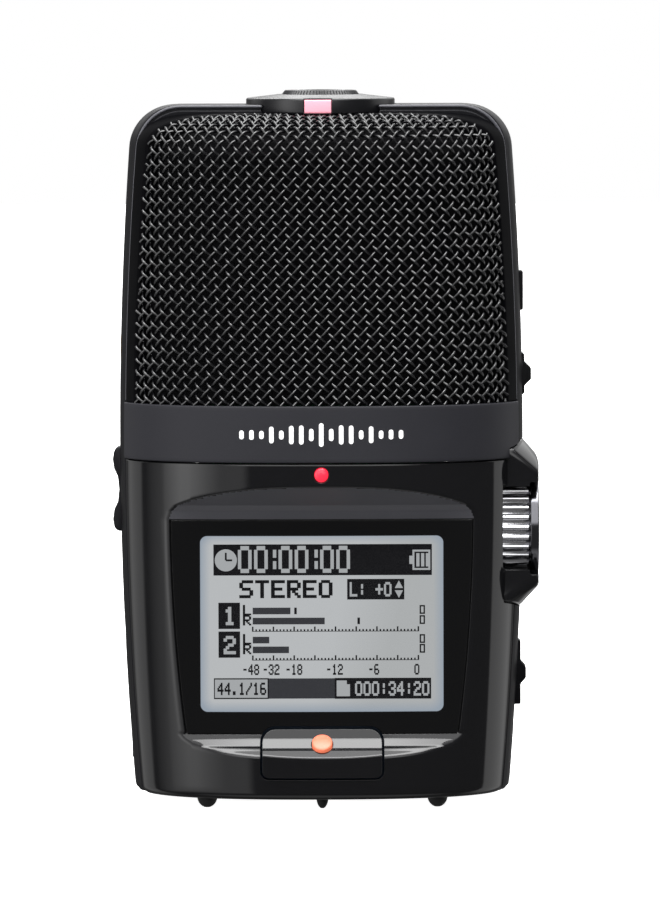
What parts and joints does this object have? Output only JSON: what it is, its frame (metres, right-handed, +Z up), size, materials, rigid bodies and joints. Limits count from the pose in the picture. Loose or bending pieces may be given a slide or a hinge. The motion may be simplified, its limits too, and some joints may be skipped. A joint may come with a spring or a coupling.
{
  "type": "handheld voice recorder",
  "caption": "Pocket stereo sound recorder with a domed wire-mesh microphone head, mode dial on top, display, record button, gain wheel and battery compartment.",
  "frame": {"origin": "on the plane of the feet, below the middle of the body", "axes": "+Z up, front with the display looks along -Y, the side with the gain wheel is +X"},
  "size_m": [0.0677, 0.0432, 0.1131],
  "materials": {
    "gloss_body": "piano-black gloss",
    "satin_frame": "fine satin grain",
    "matte_band": "dark grey, fine matt grain",
    "wire_mesh": "black lacquered woven steel wire",
    "wind_foam": "black acoustic lining",
    "inner_plastic": "moulded, unpolished",
    "rubber": "matt black rubber",
    "chrome_ring": "bright plated",
    "brass": "gold plated",
    "steel": "nickel plated",
    "window_glass": "clear acrylic with a black surround",
    "lcd": "grey reflective liquid-crystal panel with dark marks",
    "circuit_board": "green solder mask",
    "cell_jacket": "plain printed battery sleeve",
    "pink_window": "translucent pink",
    "red_lamp": "clear red lamp",
    "orange_lamp": "lit orange lamp"
  },
  "bodies": {
    "housing": {"mid_frame": "satin_frame", "front_housing": "gloss_body", "rear_housing": "gloss_body", "front_band": "matte_band", "rear_band": "matte_band", "front_grille_frame": "satin_frame", "rear_grille_frame": "satin_frame", "front_grille": "wire_mesh", "rear_grille": "wire_mesh", "front_wind_foam": "wind_foam", "rear_wind_foam": "wind_foam", "wheel_guard": "gloss_body", "display_window": "window_glass", "lcd_panel": "lcd", "main_board": "circuit_board", "gain_potentiometer": "steel", "rotary_switch": "inner_plastic", "power_switch": "inner_plastic", "speaker": "inner_plastic", "line_in_jack": "brass", "phones_jack": "brass", "usb_port": "steel", "tripod_insert": "brass", "card_socket": "steel", "memory_card": "inner_plastic", "battery_tray": "inner_plastic", "mic_bracket": "inner_plastic", "front_lamp": "red_lamp", "mid_capsule": "chrome_ring", "side_capsule_left": "chrome_ring", "side_capsule_right": "chrome_ring", "xy_capsule_left": "chrome_ring", "xy_capsule_right": "chrome_ring", "battery_left": "cell_jacket", "battery_right": "cell_jacket", "battery_spring_left": "steel", "battery_spring_right": "steel", "foot_front_left": "rubber", "foot_front_right": "rubber", "foot_front_centre": "rubber", "foot_rear_left": "rubber", "foot_rear_right": "rubber", "case_screw_1": "steel", "case_screw_2": "steel", "case_screw_3": "steel", "case_screw_4": "steel"},
    "dial": {"mode_dial": "satin_frame", "dial_cap": "satin_frame", "dial_pointer": "pink_window"},
    "gain": {"gain_wheel": "chrome_ring", "gain_wheel_cap": "gloss_body"},
    "rec": {"rec_button": "gloss_body", "rec_lamp": "orange_lamp"},
    "menu": {"menu_button": "gloss_body"},
    "play_key": {"play_stem": "inner_plastic"},
    "play_toggle": {"play_lever": "gloss_body"},
    "power": {"power_slider": "satin_frame"},
    "volume": {"volume_rocker": "satin_frame"},
    "cell_door": {"battery_door": "gloss_body"},
    "slot_door": {"card_door": "satin_frame"}
  },
  "joints": [
    {"name": "dial_turn", "type": "hinge", "parent": "housing", "child": "dial", "pos_m": [0, 0, 0.1094], "axis": [0, 0, 1], "range_deg": [-180, 90]},
    {"name": "gain_turn", "type": "hinge", "parent": "housing", "child": "gain", "pos_m": [0.0289, -0.0022, 0.04405], "axis": [1, 0, 0], "range_deg": [-150, 150]},
    {"name": "rec_press", "type": "slide", "parent": "housing", "child": "rec", "axis": [0, 1, 0], "range_m": [0, 0.0006]},
    {"name": "menu_press", "type": "slide", "parent": "housing", "child": "menu", "axis": [-1, 0, 0], "range_m": [0, 0.0004]},
    {"name": "play_press", "type": "slide", "parent": "housing", "child": "play_key", "axis": [-1, 0, 0], "range_m": [0, 0.0004]},
    {"name": "play_tilt", "type": "hinge", "parent": "play_key", "child": "play_toggle", "pos_m": [0.03, 0, 0.068], "axis": [0, 1, 0], "range_deg": [-8, 8]},
    {"name": "power_slide", "type": "slide", "parent": "housing", "child": "power", "axis": [0, 0, 1], "range_m": [-0.002, 0.002]},
    {"name": "volume_rock", "type": "hinge", "parent": "housing", "child": "volume", "pos_m": [-0.0306, 0, 0.0498], "axis": [0, 1, 0], "range_deg": [-3.5, 3.5]},
    {"name": "battery_door_swing", "type": "hinge", "parent": "housing", "child": "cell_door", "pos_m": [0, 0.0194, 0.0052], "axis": [-1, 0, 0], "range_deg": [0, 90]},
    {"name": "card_door_swing", "type": "hinge", "parent": "housing", "child": "slot_door", "pos_m": [0, -0.0066, 0.0018], "axis": [-1, 0, 0], "range_deg": [0, 90]}
  ]
}
